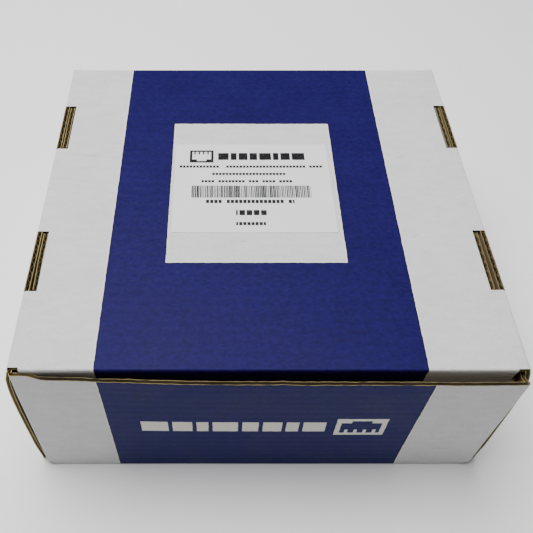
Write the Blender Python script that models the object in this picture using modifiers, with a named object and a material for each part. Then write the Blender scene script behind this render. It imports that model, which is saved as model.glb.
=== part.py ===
"""Cable spool box: a die-cut corrugated mailer, standing with its tray upside down on its lid,
and the spool of network cable inside it. Metres, +Z up. The origin is the centre of the
underside, +X is to the right seen from the lid's front flap, and +Y runs from that flap to the
lid's hinge crease."""

import math

import bmesh
import bpy
from mathutils import Vector

# Driving dimensions of the box.
WIDTH = 0.260            # over the two outer side walls
TRAY_DEPTH = 0.248       # over the tray's front and back walls
HEIGHT = 0.110           # from the table to the label panel
BOARD = 0.0022           # thickness of the corrugated board
GAP = 0.0003             # clearance between boards that touch
FLAP_STANDOFF = 0.0015   # the front flap stands this far off the tray's front wall
FLAP_DROP = 0.0045       # the flap's free edge below the label panel's face
FLAP_WIDTH = 0.259

# Locks, flaps and ears of the box.
SLOT_LENGTH = 0.0430
SLOT_CENTRES = (0.0702, 0.1844)    # behind the tray's front face
TAB_LENGTH = 0.0406
CORNER_FLAP = 0.040
CORNER_TAPER = 0.008               # the corner flap's free edge is shorter by this at each end
POCKET_BOARD = 0.0010              # the crushed boards that share a front pocket
POCKET_GAP = 0.0002
EAR_DEPTH = 0.030
EAR_BOTTOM, EAR_TOP = 0.008, 0.100
EAR_ROUND = 0.018
RIM_NOTCH = 0.036                  # the roll strip starts this far behind the front wall
ARC_STEPS = 6

# Paper sticker on the label panel.
STICKER = (0.097, 0.0762)
STICKER_CENTRE = (-0.004, 0.1292)  # across, and behind the tray's front face
PAPER = 0.00015
PAPER_GAP = 0.00005

# Spool and cable.
FLANGE_RADIUS = 0.114
FLANGE = 0.0035
RIM_BEAD = (0.0030, 0.0015)        # width, height
HUB_BORE, HUB_WALL, HUB_HEIGHT = 0.016, 0.003, 0.022
SPIGOT_RADII = (0.0385, 0.0417)
SPIGOT_HEIGHT = 0.018
BARREL_RADII = (0.0420, 0.0450)
CABLE = 0.0052
WINDING_RADIUS = 0.1036
SPOOL_TOP_ROOM = 0.0020            # clear height between the spool and the label panel
START_HOLE_RADIUS, START_HOLE_AT = 0.0042, 0.0530
NOTCH_WIDTH, NOTCH_DEPTH, NOTCHES = 0.0066, 0.009, 4
ROUND_STEPS = 64
END_ARC = math.radians(52)
END_HEIGHT = 0.018                 # the cable's end lies this far above the spool's middle
TAPE_HALF = 0.015
TAPE = 0.0003
TAPE_ARC = math.radians(26)

# Places that follow from them.
DEPTH = TRAY_DEPTH + FLAP_STANDOFF + BOARD
FRONT, BACK = -DEPTH / 2, DEPTH / 2
TRAY_FRONT = BACK - TRAY_DEPTH
POCKET_OUT = WIDTH / 2 - BOARD - GAP
POCKET_IN = POCKET_OUT - BOARD
INNER_OUT = POCKET_IN - GAP
INNER_IN = INNER_OUT - BOARD
CEILING = HEIGHT - BOARD
WALL_TOP = CEILING - GAP
RIM = BOARD + GAP
INNER_BOTTOM = RIM + BOARD + GAP
SPOOL_Y = (TRAY_FRONT + BACK) / 2
SPOOL_BASE = BOARD + GAP
SPOOL_TOP = CEILING - SPOOL_TOP_ROOM
LIES_FLAT = (0.0, 0.0, 0.0)
FACES_FRONT = (math.pi / 2, 0.0, 0.0)
FACES_SIDE = (math.pi / 2, 0.0, math.pi / 2)


def clear_scene():
    for obj in list(bpy.data.objects):
        bpy.data.objects.remove(obj, do_unlink=True)


def new_collection(name):
    collection = bpy.data.collections.new(name)
    bpy.context.scene.collection.children.link(collection)
    return collection


def material(name, colour, roughness, metallic=0.0):
    mat = bpy.data.materials.new(name)
    mat.use_nodes = True
    shader = mat.node_tree.nodes["Principled BSDF"]
    shader.inputs["Base Color"].default_value = (*colour, 1.0)
    shader.inputs["Roughness"].default_value = roughness
    shader.inputs["Metallic"].default_value = metallic
    return mat


def pivot(name, place, parent=None):
    """An empty on a joint's axis."""
    empty = bpy.data.objects.new(name, None)
    PARTS.objects.link(empty)
    attach(empty, parent, place)
    return empty


def world_place(obj):
    place = obj.location.copy()
    while obj.parent:
        obj = obj.parent
        place += obj.location
    return place


def attach(obj, parent, place, turn=LIES_FLAT):
    """Puts obj at a place in the box's frame, carried by parent."""
    obj.rotation_euler = turn
    obj.location = Vector(place)
    if parent:
        obj.parent = parent
        obj.location = Vector(place) - world_place(parent)


def cut_board(name, outline, thickness, parent, place, turn, look):
    """A flat board: a closed outline in its own plane, extruded about its middle."""
    curve = bpy.data.curves.new(name, "CURVE")
    curve.dimensions = "2D"
    curve.fill_mode = "BOTH"
    curve.extrude = thickness / 2
    spline = curve.splines.new("POLY")
    spline.points.add(len(outline) - 1)
    for point, (u, v) in zip(spline.points, outline):
        point.co = (u, v, 0.0, 1.0)
    spline.use_cyclic_u = True
    curve.materials.append(look)
    obj = bpy.data.objects.new(name, curve)
    PARTS.objects.link(obj)
    attach(obj, parent, place, turn)
    return obj


def rectangle(u0, u1, v0, v1):
    return [(u0, v0), (u1, v0), (u1, v1), (u0, v1)]


def turned(name, profile, parent, place, look):
    """A closed (radius, height) profile turned about the vertical axis."""
    mesh = bpy.data.meshes.new(name)
    points = [(radius, 0.0, height) for radius, height in profile]
    edges = [(i, (i + 1) % len(points)) for i in range(len(points))]
    mesh.from_pydata(points, edges, [])
    mesh.materials.append(look)
    obj = bpy.data.objects.new(name, mesh)
    PARTS.objects.link(obj)
    screw = obj.modifiers.new("turn", "SCREW")
    screw.steps = ROUND_STEPS
    screw.render_steps = ROUND_STEPS
    screw.use_merge_vertices = True
    screw.merge_threshold = 0.00001
    attach(obj, parent, place)
    return obj


def cutter(name, bm, parent, place):
    mesh = bpy.data.meshes.new(name)
    bm.to_mesh(mesh)
    bm.free()
    obj = bpy.data.objects.new(name, mesh)
    CUTTERS.objects.link(obj)
    obj.hide_render = True
    obj.display_type = "WIRE"
    attach(obj, parent, place)
    return obj


def cut(obj, tool):
    boolean = obj.modifiers.new("cut", "BOOLEAN")
    boolean.operation = "DIFFERENCE"
    boolean.solver = "EXACT"
    boolean.object = tool


def label_panel_outline():
    """The tray's base, seen from above, with its two lock slots open at each side crease."""
    half = WIDTH / 2
    slot_in = INNER_IN - GAP
    right = [(half, 0.0)]
    for centre in SLOT_CENTRES:
        near, far = centre - SLOT_LENGTH / 2, centre + SLOT_LENGTH / 2
        right += [(half, near), (slot_in, near), (slot_in, far), (half, far)]
    right.append((half, TRAY_DEPTH))
    left = [(-u, v) for u, v in reversed(right)]
    return right + left


def side_wall_outline():
    """The outer side wall. Its cut edge stands level with the label panel in the lock slots,
    where there is no crease."""
    outline = [(0.0, RIM), (TRAY_DEPTH, RIM), (TRAY_DEPTH, WALL_TOP)]
    for centre in reversed(SLOT_CENTRES):
        near, far = centre - SLOT_LENGTH / 2 + GAP, centre + SLOT_LENGTH / 2 - GAP
        outline += [(far, WALL_TOP), (far, HEIGHT - GAP), (near, HEIGHT - GAP), (near, WALL_TOP)]
    outline.append((0.0, WALL_TOP))
    return outline


def inner_wall_outline():
    """The rolled-over inner wall, with the two tabs that lock it in the label panel's slots."""
    start, end = BOARD + GAP, TRAY_DEPTH - BOARD - GAP
    tab_top = HEIGHT - GAP
    chamfer = BOARD / 2
    outline = [(start, INNER_BOTTOM), (end, INNER_BOTTOM), (end, WALL_TOP)]
    for centre in reversed(SLOT_CENTRES):
        near, far = centre - TAB_LENGTH / 2, centre + TAB_LENGTH / 2
        outline += [(far, WALL_TOP), (far, tab_top - chamfer), (far - chamfer, tab_top)]
        outline += [(near + chamfer, tab_top), (near, tab_top - chamfer), (near, WALL_TOP)]
    outline.append((start, WALL_TOP))
    return outline


def corner_flap_outline():
    """A flap that tapers away from the wall it is folded from; it starts at zero."""
    low, high = INNER_BOTTOM, WALL_TOP
    return [(0.0, low), (CORNER_FLAP, low + CORNER_TAPER),
            (CORNER_FLAP, high - CORNER_TAPER), (0.0, high)]


def ear_outline():
    """A tuck ear, with its two free corners rounded."""
    start = BOARD + GAP
    outline = [(start, EAR_BOTTOM)]
    corners = ((EAR_BOTTOM + EAR_ROUND, -math.pi / 2), (EAR_TOP - EAR_ROUND, 0.0))
    centre_u = start + EAR_DEPTH - EAR_ROUND
    for centre_v, first in corners:
        for step in range(ARC_STEPS + 1):
            angle = first + step * math.pi / 2 / ARC_STEPS
            outline.append((centre_u + EAR_ROUND * math.cos(angle),
                            centre_v + EAR_ROUND * math.sin(angle)))
    outline.append((start, EAR_TOP))
    return outline


def flange_profile():
    """A flange with its rim bead, hub and spigot, outer face down at zero height."""
    bead_width, bead_height = RIM_BEAD
    hub = HUB_BORE + HUB_WALL
    spigot_in, spigot_out = SPIGOT_RADII
    return [(FLANGE_RADIUS, FLANGE + bead_height), (FLANGE_RADIUS, 0.0), (HUB_BORE, 0.0),
            (HUB_BORE, HUB_HEIGHT), (hub, HUB_HEIGHT), (hub, FLANGE), (spigot_in, FLANGE),
            (spigot_in, SPIGOT_HEIGHT), (spigot_out, SPIGOT_HEIGHT), (spigot_out, FLANGE),
            (FLANGE_RADIUS - bead_width, FLANGE), (FLANGE_RADIUS - bead_width, FLANGE + bead_height)]


def ring_profile(inner, outer, low, high):
    return [(outer, high), (outer, low), (inner, low), (inner, high)]


def make_tray(hinge):
    cut_board("label_panel", label_panel_outline(), BOARD, hinge,
              (0.0, TRAY_FRONT, HEIGHT - BOARD / 2), LIES_FLAT, WHITE_BOARD)
    end_wall = rectangle(-INNER_OUT, INNER_OUT, RIM, WALL_TOP)
    cut_board("front_wall", end_wall, BOARD, hinge,
              (0.0, TRAY_FRONT + BOARD / 2, 0.0), FACES_FRONT, WHITE_BOARD)
    cut_board("back_wall", end_wall, BOARD, hinge,
              (0.0, BACK - BOARD / 2, 0.0), FACES_FRONT, WHITE_BOARD)
    for side, sign in (("left", -1), ("right", 1)):
        make_side(side, sign, hinge)


def make_side(side, sign, hinge):
    """One rolled side: outer wall, strip along the rim, inner wall, and the two corner flaps
    trapped between the walls."""
    cut_board(f"{side}_side_wall", side_wall_outline(), BOARD, hinge,
              (sign * (WIDTH - BOARD) / 2, TRAY_FRONT, 0.0), FACES_SIDE, WHITE_BOARD)
    strip = rectangle(-(POCKET_OUT - INNER_IN) / 2, (POCKET_OUT - INNER_IN) / 2,
                      RIM_NOTCH, TRAY_DEPTH - BOARD - GAP)
    cut_board(f"{side}_roll_strip", strip, BOARD, hinge,
              (sign * (POCKET_OUT + INNER_IN) / 2, TRAY_FRONT, RIM + BOARD / 2),
              LIES_FLAT, WHITE_BOARD)
    cut_board(f"{side}_inner_wall", inner_wall_outline(), BOARD, hinge,
              (sign * (INNER_OUT + INNER_IN) / 2, TRAY_FRONT, 0.0), FACES_SIDE, KRAFT_BOARD)
    cut_board(f"front_{side}_corner_flap", corner_flap_outline(), POCKET_BOARD, hinge,
              (sign * (POCKET_IN + POCKET_BOARD / 2), TRAY_FRONT, 0.0), FACES_SIDE, KRAFT_BOARD)
    back_outline = [(-u, v) for u, v in reversed(corner_flap_outline())]
    cut_board(f"back_{side}_corner_flap", back_outline, BOARD, hinge,
              (sign * (POCKET_OUT + POCKET_IN) / 2, BACK, 0.0), FACES_SIDE, KRAFT_BOARD)


def make_sticker(hinge):
    half_x, half_y = STICKER[0] / 2, STICKER[1] / 2
    x, behind = STICKER_CENTRE
    cut_board("label_sticker", rectangle(-half_x, half_x, -half_y, half_y), PAPER, hinge,
              (x, TRAY_FRONT + behind, HEIGHT + PAPER_GAP + PAPER / 2), LIES_FLAT, STICKER_PAPER)


def make_lid():
    cut_board("lid_panel", rectangle(-FLAP_WIDTH / 2, FLAP_WIDTH / 2, FRONT + BOARD + GAP, BACK),
              BOARD, None, (0.0, 0.0, BOARD / 2), LIES_FLAT, WHITE_BOARD)


def make_front_flap(hinge):
    flap = rectangle(-FLAP_WIDTH / 2, FLAP_WIDTH / 2, 0.0, HEIGHT - FLAP_DROP)
    cut_board("lid_front_flap", flap, BOARD, hinge,
              (0.0, FRONT + BOARD / 2, 0.0), FACES_FRONT, BLUE_BOARD)
    across = POCKET_OUT - POCKET_BOARD / 2
    for side, sign in (("left", -1), ("right", 1)):
        cut_board(f"{side}_tuck_ear", ear_outline(), POCKET_BOARD, hinge,
                  (sign * across, FRONT, 0.0), FACES_SIDE, WHITE_BOARD)


def cut_flange(flange, name, spindle, base):
    """Cuts the hole that the cable starts from, and the notches in the rim."""
    bm = bmesh.new()
    hole = bmesh.ops.create_cone(bm, cap_ends=True, segments=24, radius1=START_HOLE_RADIUS,
                                 radius2=START_HOLE_RADIUS, depth=4 * FLANGE)
    bmesh.ops.translate(bm, verts=hole["verts"], vec=(START_HOLE_AT, 0.0, 0.0))
    cut(flange, cutter(f"{name}_start_cutter", bm, spindle, (0.0, SPOOL_Y, base)))
    bm = bmesh.new()
    for step in range(NOTCHES):
        box = bmesh.ops.create_cube(bm, size=1.0)
        bmesh.ops.scale(bm, verts=box["verts"], vec=(2 * NOTCH_DEPTH, NOTCH_WIDTH, 6 * FLANGE))
        bmesh.ops.translate(bm, verts=box["verts"], vec=(FLANGE_RADIUS, 0.0, 0.0))
        angle = (step + 0.5) * 2 * math.pi / NOTCHES
        for vert in box["verts"]:
            x, y = vert.co.x, vert.co.y
            vert.co.x = x * math.cos(angle) - y * math.sin(angle)
            vert.co.y = x * math.sin(angle) + y * math.cos(angle)
    cut(flange, cutter(f"{name}_notch_cutter", bm, spindle, (0.0, SPOOL_Y, base)))


def make_spool(spindle):
    lower = turned("spool_lower_flange", flange_profile(), spindle,
                   (0.0, SPOOL_Y, SPOOL_BASE), SPOOL_PLASTIC)
    cut_flange(lower, "lower", spindle, SPOOL_BASE)
    upside_down = [(radius, -height) for radius, height in reversed(flange_profile())]
    upper = turned("spool_upper_flange", upside_down, spindle,
                   (0.0, SPOOL_Y, SPOOL_TOP), SPOOL_PLASTIC)
    cut_flange(upper, "upper", spindle, SPOOL_TOP)
    low, high = SPOOL_BASE + FLANGE + GAP, SPOOL_TOP - FLANGE - GAP
    turned("spool_barrel", ring_profile(*BARREL_RADII, low, high), spindle,
           (0.0, SPOOL_Y, 0.0), SPOOL_TUBE)
    clear_of_bead = RIM_BEAD[1]
    turned("cable_winding", ring_profile(BARREL_RADII[1] + GAP, WINDING_RADIUS,
                                         low + clear_of_bead, high - clear_of_bead),
           spindle, (0.0, SPOOL_Y, 0.0), CABLE_JACKET)


def make_cable_end(spindle):
    """The cable's last stretch, laid on the winding, and the tape that holds it there."""
    radius = WINDING_RADIUS + GAP + CABLE / 2
    height = (SPOOL_BASE + SPOOL_TOP) / 2 + END_HEIGHT
    curve = bpy.data.curves.new("cable_end", "CURVE")
    curve.dimensions = "3D"
    curve.bevel_depth = CABLE / 2
    curve.bevel_resolution = 2
    curve.use_fill_caps = True
    steps = 20
    spline = curve.splines.new("POLY")
    spline.points.add(steps)
    for step, point in enumerate(spline.points):
        angle = -math.pi / 2 + END_ARC * (step / steps - 0.5)
        point.co = (radius * math.cos(angle), radius * math.sin(angle), 0.0, 1.0)
    curve.materials.append(CABLE_JACKET)
    obj = bpy.data.objects.new("cable_end", curve)
    PARTS.objects.link(obj)
    attach(obj, spindle, (0.0, SPOOL_Y, height))

    foot, crown = WINDING_RADIUS + GAP, WINDING_RADIUS + CABLE + 2 * GAP
    profile = [(foot, TAPE_HALF), (foot, CABLE), (crown, CABLE / 2),
               (crown, -CABLE / 2), (foot, -CABLE), (foot, -TAPE_HALF)]
    mesh = bpy.data.meshes.new("end_tape")
    first = -math.pi / 2 - TAPE_ARC / 2
    points = [(r * math.cos(first), r * math.sin(first), z) for r, z in profile]
    mesh.from_pydata(points, [(i, i + 1) for i in range(len(points) - 1)], [])
    mesh.materials.append(TAPE_FILM)
    tape = bpy.data.objects.new("end_tape", mesh)
    PARTS.objects.link(tape)
    sweep = tape.modifiers.new("sweep", "SCREW")
    sweep.angle = TAPE_ARC
    sweep.steps = 8
    sweep.render_steps = 8
    sweep.merge_threshold = 0.00001
    skin = tape.modifiers.new("skin", "SOLIDIFY")
    skin.thickness = TAPE
    skin.offset = 1.0
    attach(tape, spindle, (0.0, SPOOL_Y, height))


clear_scene()
PARTS = new_collection("cable_spool_box")
CUTTERS = new_collection("cutters")
WHITE_BOARD = material("white_lined_board", (0.58, 0.58, 0.59), 0.55)
BLUE_BOARD = material("blue_printed_board", (0.018, 0.028, 0.150), 0.45)
KRAFT_BOARD = material("kraft_lined_board", (0.40, 0.27, 0.14), 0.85)
STICKER_PAPER = material("sticker_paper", (0.66, 0.67, 0.69), 0.40)
SPOOL_PLASTIC = material("spool_plastic", (0.030, 0.031, 0.033), 0.42)
SPOOL_TUBE = material("spool_tube", (0.36, 0.25, 0.14), 0.80)
CABLE_JACKET = material("cable_jacket", (0.30, 0.31, 0.32), 0.45)
TAPE_FILM = material("tape_film", (0.55, 0.50, 0.36), 0.25)

TRAY_HINGE = pivot("tray_hinge", (0.0, BACK, 0.0))
FLAP_HINGE = pivot("front_flap_hinge", (0.0, FRONT, 0.0))
SPINDLE = pivot("spool_spindle", (0.0, SPOOL_Y, 0.0), TRAY_HINGE)
make_lid()
make_front_flap(FLAP_HINGE)
make_tray(TRAY_HINGE)
make_sticker(TRAY_HINGE)
make_spool(SPINDLE)
make_cable_end(SPINDLE)
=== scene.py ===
"""Looks of the cable spool box: every board of the mailer as two liners on a fluted core, with
its print, sticker and raw edges, and the spool with its wound cable. Metres, +Z up, in the
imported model's frame."""

from math import asin, copysign, cos, exp, hypot, pi, radians, sin, sqrt

import bmesh
import bpy
from mathutils import Matrix, Vector, noise


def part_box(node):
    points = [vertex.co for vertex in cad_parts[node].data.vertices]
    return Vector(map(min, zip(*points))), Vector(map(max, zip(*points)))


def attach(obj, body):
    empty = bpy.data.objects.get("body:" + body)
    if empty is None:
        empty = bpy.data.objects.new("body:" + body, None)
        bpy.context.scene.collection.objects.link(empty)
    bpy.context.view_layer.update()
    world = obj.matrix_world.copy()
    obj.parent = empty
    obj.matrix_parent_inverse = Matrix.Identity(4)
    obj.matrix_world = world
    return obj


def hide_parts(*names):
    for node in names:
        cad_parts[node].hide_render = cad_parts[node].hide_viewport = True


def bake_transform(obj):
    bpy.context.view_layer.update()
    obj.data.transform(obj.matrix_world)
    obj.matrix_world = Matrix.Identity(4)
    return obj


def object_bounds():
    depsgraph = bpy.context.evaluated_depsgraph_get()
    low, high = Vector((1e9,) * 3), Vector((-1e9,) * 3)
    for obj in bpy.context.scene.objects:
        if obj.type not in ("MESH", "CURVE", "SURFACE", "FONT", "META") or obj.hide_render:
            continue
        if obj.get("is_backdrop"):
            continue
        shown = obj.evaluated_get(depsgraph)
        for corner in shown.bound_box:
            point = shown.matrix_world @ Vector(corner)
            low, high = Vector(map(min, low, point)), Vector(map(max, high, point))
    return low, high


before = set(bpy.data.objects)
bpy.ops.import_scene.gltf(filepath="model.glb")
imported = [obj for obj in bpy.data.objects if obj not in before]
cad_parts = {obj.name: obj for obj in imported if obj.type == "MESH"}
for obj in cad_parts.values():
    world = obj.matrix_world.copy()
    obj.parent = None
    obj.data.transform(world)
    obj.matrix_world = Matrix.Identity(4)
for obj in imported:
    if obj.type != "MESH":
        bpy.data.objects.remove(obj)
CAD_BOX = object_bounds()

# ------------ sizes, from the frame
LOW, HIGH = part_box("label_panel")
HALF = HIGH.x                                   # half the width over the side walls
TOP = HIGH.z
TRAY_FRONT, TRAY_BACK = LOW.y, HIGH.y
DEPTH = TRAY_BACK - TRAY_FRONT
BOARD = HIGH.z - LOW.z
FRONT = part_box("lid_front_flap")[0].y           # outer face of the lid's front flap
FLAP_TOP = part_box("lid_front_flap")[1].z
INNER_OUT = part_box("right_inner_wall")[1].x
POCKET_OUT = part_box("right_roll_strip")[1].x
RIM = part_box("right_side_wall")[0].z
RIM_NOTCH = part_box("right_roll_strip")[0].y - TRAY_FRONT
EAR_LOW, EAR_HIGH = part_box("right_tuck_ear")
EAR_FOOT, EAR_HEAD = EAR_LOW.z - 0.0050, EAR_HIGH.z + 0.0040
SLOTS = (0.0702, 0.1844)                        # slot centres behind the tray's front
SLOT_LENGTH, TAB_LENGTH = 0.0430, 0.0406
SLOT_IN = 0.1225                                # the slots' inner edges, from the middle
NARROW_IN = 0.1232                              # and the narrower left front slot's
SLOT_SHIFT = 0.0008                             # the right slots lie this much further back
CORNER_BACK = (0.0017, 0.0008)                  # the raw corners' setback, left and right
CORNER_RELIEF = 0.0125                          # the corner flaps start this far under the panel

PITCH = 0.0064                                  # flute spacing
PITCH_STEPS = 6                                 # row lines to a flute
LINER = 0.00032
MEDIUM = 0.00020
RIB = 0.00003                                   # the liner sags this much between flutes
HALF_PI = pi / 2
QUARTER = BOARD * HALF_PI                       # a tight fold's length on its outer face
FRONT_FOLD = 0.0025                             # outer radius of the soft front crease
FRONT_ARC = FRONT_FOLD * HALF_PI
WALL_END = 0.1245                               # the end walls stop this far from the middle
FOLD_IN = HALF - BOARD                          # where the side folds start
WALL_TOP = TOP - BOARD                          # and where the walls do, under the panel
RIM_FOLD = RIM + BOARD                          # and the double creases at the side walls' rims
PANEL_END = FOLD_IN + QUARTER
FLAP_HALF = 0.1301                              # half the flap's width over its end folds
EPS = 1e-7
INK_EDGE = 0.00012                              # how soft the border of a print is


def link(obj):
    bpy.context.scene.collection.objects.link(obj)


def smooth(t):
    t = min(max(t, 0.0), 1.0)
    return t * t * (3 - 2 * t)


def wobble(t, seed, scale):
    """A smooth irregular wave of one variable, between about -1 and 1."""
    return 1.6 * noise.noise(Vector((t / scale, 7.31 * seed, 1.7 * seed)))


# ------------ node helpers
class Nodes:
    """Short ways to build a material's nodes."""

    def __init__(self, name):
        self.mat = bpy.data.materials.new(name)
        self.mat.use_nodes = True
        self.tree = self.mat.node_tree
        self.shader = self.tree.nodes["Principled BSDF"]
        self.place = self.node("TexCoord", {}).outputs["Object"]
        split = self.node("SeparateXYZ", {0: self.place})
        self.axis = dict(zip("xyz", split.outputs))

    def put(self, socket, value):
        """Links another node's output to a socket, or sets its value. A colour is opaque."""
        if isinstance(value, bpy.types.NodeSocket):
            self.tree.links.new(value, socket)
        elif socket.type == "RGBA":
            socket.default_value = (*value, 1.0)
        else:
            socket.default_value = value

    def node(self, kind, inputs, **settings):
        node = self.tree.nodes.new("ShaderNode" + kind)
        for key, value in settings.items():
            setattr(node, key, value)
        for key, value in inputs.items():
            self.put(node.inputs[key], value)
        return node

    def math(self, kind, *values):
        return self.node("Math", dict(enumerate(values)), operation=kind).outputs[0]

    def times(self, a, b):
        return self.math("MULTIPLY", a, b)

    def plus(self, a, b):
        return self.math("ADD", a, b)

    def minus(self, a, b):
        return self.math("SUBTRACT", a, b)

    def noise(self, scale, detail=3.0, rough=0.5, stretch=(1, 1, 1), shift=(0, 0, 0)):
        mapping = self.node("Mapping", {"Scale": stretch, "Location": shift, "Vector": self.place})
        return self.node("TexNoise", {"Vector": mapping.outputs[0], "Scale": scale,
                                      "Detail": detail, "Roughness": rough}).outputs["Fac"]

    def between(self, value, low, high, out_low=0.0, out_high=1.0):
        """Maps low..high to out_low..out_high, and clamps."""
        return self.node("MapRange", {"Value": value, "From Min": low, "From Max": high,
                                      "To Min": out_low, "To Max": out_high}).outputs[0]

    def spread(self, value, low, high):
        """Maps most of a noise's values to low..high."""
        return self.between(value, 0.3, 0.7, low, high)

    def mix(self, share, a, b):
        """The share of b in a. The sockets of the two colours and the result go by number."""
        return self.node("Mix", {"Factor": share, 6: a, 7: b}, data_type="RGBA").outputs[2]

    def scaled(self, colour, by):
        """A colour times a number."""
        return self.node("VectorMath", {0: colour, "Scale": by}, operation="SCALE").outputs[0]

    def strip(self, value, low, high, edge=INK_EDGE):
        """1 where value is between low and high."""
        rise = self.between(value, low - edge, low + edge)
        fall = self.between(value, high - edge, high + edge, 1.0, 0.0)
        return self.times(rise, fall)

    def random_cells(self, position, width, seed):
        """Cells along a position: the share of the cell passed, and its random number."""
        count = self.math("DIVIDE", self.plus(position, seed), width)
        node = self.node("TexWhiteNoise", {"W": self.math("FLOOR", count)}, noise_dimensions="1D")
        return self.math("FRACT", count), node.outputs["Value"]

    def block(self, u, v, box, edge=INK_EDGE):
        """1 inside a box (u0, u1, v0, v1)."""
        u0, u1, v0, v1 = box
        return self.times(self.strip(u, u0, u1, edge), self.strip(v, v0, v1, edge))

    def either(self, masks):
        total = masks[0]
        for mask in masks[1:]:
            total = self.math("MAXIMUM", total, mask)
        return total

    def without(self, mask, hole):
        return self.times(mask, self.minus(1.0, hole))

    def bump(self, height, distance, strength=1.0, after=None):
        inputs = {"Strength": strength, "Distance": distance, "Height": height}
        if after is not None:
            inputs["Normal"] = after
        return self.node("Bump", inputs).outputs[0]

    def finish(self, colour, roughness, normal=None):
        self.put(self.shader.inputs["Base Color"], colour)
        self.put(self.shader.inputs["Roughness"], roughness)
        if normal is not None:
            self.put(self.shader.inputs["Normal"], normal)
        return self.mat


# ------------ board materials
WHITE = (0.585, 0.585, 0.592)
BLUE = (0.0090, 0.0058, 0.0690)
# A lighter copy of the print's blue for the lid and its front flap: painted light on the flap's
# front face.
LIGHTER_LID_BLUE = (0.0060, 0.0070, 0.0800)
CREAM = (0.680, 0.665, 0.590)
RUBBED_BLUE = (0.07, 0.085, 0.24)
PAINTED_FRONT_LIGHT = (0.0020, 0.0045, 2.0)                   # cut faces at the tray's front are painted twice as light: painted light
HALO, RIM_DARK = 0.0008, 0.0006                 # the bare border round the ink, and its dark rim
FAR = 1.0                                       # a band goes on past the board's ends


def liner_print(name, across, along, band=None, hole=None, marks=None, flute_axis=None,
                blue=BLUE, slant=None):
    """The white outer liner with its print: a band between two places on the axis across, less
    a hole, a (u0, u1, v0, v1) box. flute_axis is the axis that the flutes follow one another on.
    With slant, the print runs aside and spreads by these shares of the way behind the tray's
    front."""
    n = Nodes(name)
    drift = n.spread(n.noise(260, 2), -0.00014, 0.00014)
    u = n.plus(n.axis[across], drift)
    v = n.plus(n.axis[along], drift)
    if slant:
        aside, spread = slant
        back = n.minus(v, TRAY_FRONT)
        straight = n.minus(u, n.times(back, aside))
        u = n.math("DIVIDE", straight, n.math("MULTIPLY_ADD", back, spread, 1.0))
    ink = None
    if band:
        ink, halo, heart = [printed(n, u, v, band, hole, by) for by in (0, HALO, -RIM_DARK)]
        if marks:
            ink = n.without(ink, marks(n, u, v))
    flute = n.axis[flute_axis or along]
    wave = n.math("COSINE", n.times(flute, 2 * pi / PITCH))
    uneven = n.noise(9, 3, 0.6, (1, 5, 5))
    rib = n.times(wave, n.between(uneven, 0.35, 0.65, 0.2, 1.0))
    cloud = n.noise(34, 5, 0.62)
    fibre = n.noise(900, 3, 0.6, (1, 2.5, 2.5))
    blotch = n.noise(150, 4, 0.6, (0.6, 1.6, 1.6))
    scuff = n.between(n.noise(75, 5, 0.65, (0.45, 1.8, 1.8), (3, 1, 2)), 0.655, 0.70)
    dent = n.between(n.noise(38, 4, 0.55, (0.35, 3.0, 3.0), (1, 4, 4)), 0.60, 0.72)
    shade = n.plus(n.between(cloud, 0.25, 0.75, 0.955, 1.025),
                   n.times(rib, 0.005))
    for grain, depth in ((blotch, 0.050), (fibre, 0.090)):
        shade = n.plus(shade, n.spread(grain, -depth, depth))
    for stain, depth in ((scuff, 0.16), (dent, 0.035)):
        shade = n.minus(shade, n.times(stain, depth))
    colour = n.scaled(WHITE, shade)
    rough = n.spread(cloud, 0.46, 0.56)
    if ink is not None:
        colour = n.mix(n.times(halo, 0.85), colour, CREAM)
        grain = n.noise(420, 4, 0.7, (1, 1.4, 1.4), (6, 3, 9))
        tone = n.plus(n.between(cloud, 0.25, 0.75, 0.90, 1.10),
                      n.times(rib, 0.035))
        tone = n.plus(tone, n.spread(grain, -0.29, 0.29))
        tone = n.times(tone, n.math("MULTIPLY_ADD", heart, 0.40, 0.60))
        rub = n.between(n.noise(120, 6, 0.75, (0.5, 2.2, 2.2), (8, 2, 5)), 0.66, 0.80, 0.0, 0.35)
        colour = n.mix(ink, colour, n.mix(rub, n.scaled(blue, tone), RUBBED_BLUE))
        rough = n.minus(rough, n.times(ink, 0.06))
    n.shader.inputs["Specular IOR Level"].default_value = 0.06
    normal = n.bump(fibre, 0.00003, 0.5)
    normal = n.bump(rib, 0.00002, 0.6, normal)
    normal = n.bump(n.noise(70, 3, 0.55), 0.00035, 0.35, normal)
    return n.finish(colour, rough, normal)


def printed(n, u, v, band, hole, by):
    """The printed band less its hole, with every border moved out by a distance."""
    mask = n.block(u, v, grown((*band, -FAR, FAR), by))
    return n.without(mask, n.block(u, v, grown(hole, -by))) if hole else mask


def grown(box, by):
    """A box with its four sides moved out by a distance."""
    u0, u1, v0, v1 = box
    return (u0 - by, u1 + by, v0 - by, v1 + by)


def kraft(name, tone, rough=0.85, patch=0.10, light=None, front=None):
    """Brown paper. patch is how uneven its tone is. light is a second, lighter tone at the far
    left, a painted highlight. front is (near, far, share): up to near behind the tray's front the
    tone is this share of what it is past far, as painted shade below 1 and painted light above 1."""
    n = Nodes(name)
    fibre = n.noise(700, 4, 0.65, (1, 3, 3))
    cloud = n.noise(30, 4, 0.6)
    shade = n.plus(n.spread(cloud, 1 - patch, 1 + patch),
                   n.spread(fibre, -0.14, 0.14))
    if front:
        near, far, share = front
        depth = n.minus(n.axis["y"], TRAY_FRONT)
        shade = n.times(shade, n.between(depth, near, far, share, 1.0))
    fleck = n.between(n.noise(420, 2, 0.5, (1, 1, 1), (4, 4, 4)), 0.68, 0.74, 0.0, 0.45)
    # Painted highlight: the tone is lighter at the far left, where the light falls on the raw
    # edges.
    base = n.mix(n.between(n.axis["x"], -0.119, -0.111), light, tone) if light else tone
    colour = n.mix(fleck, n.scaled(base, shade), tuple(0.35 * c for c in tone))
    return n.finish(colour, rough, n.bump(fibre, 0.00006, 0.7))


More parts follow.
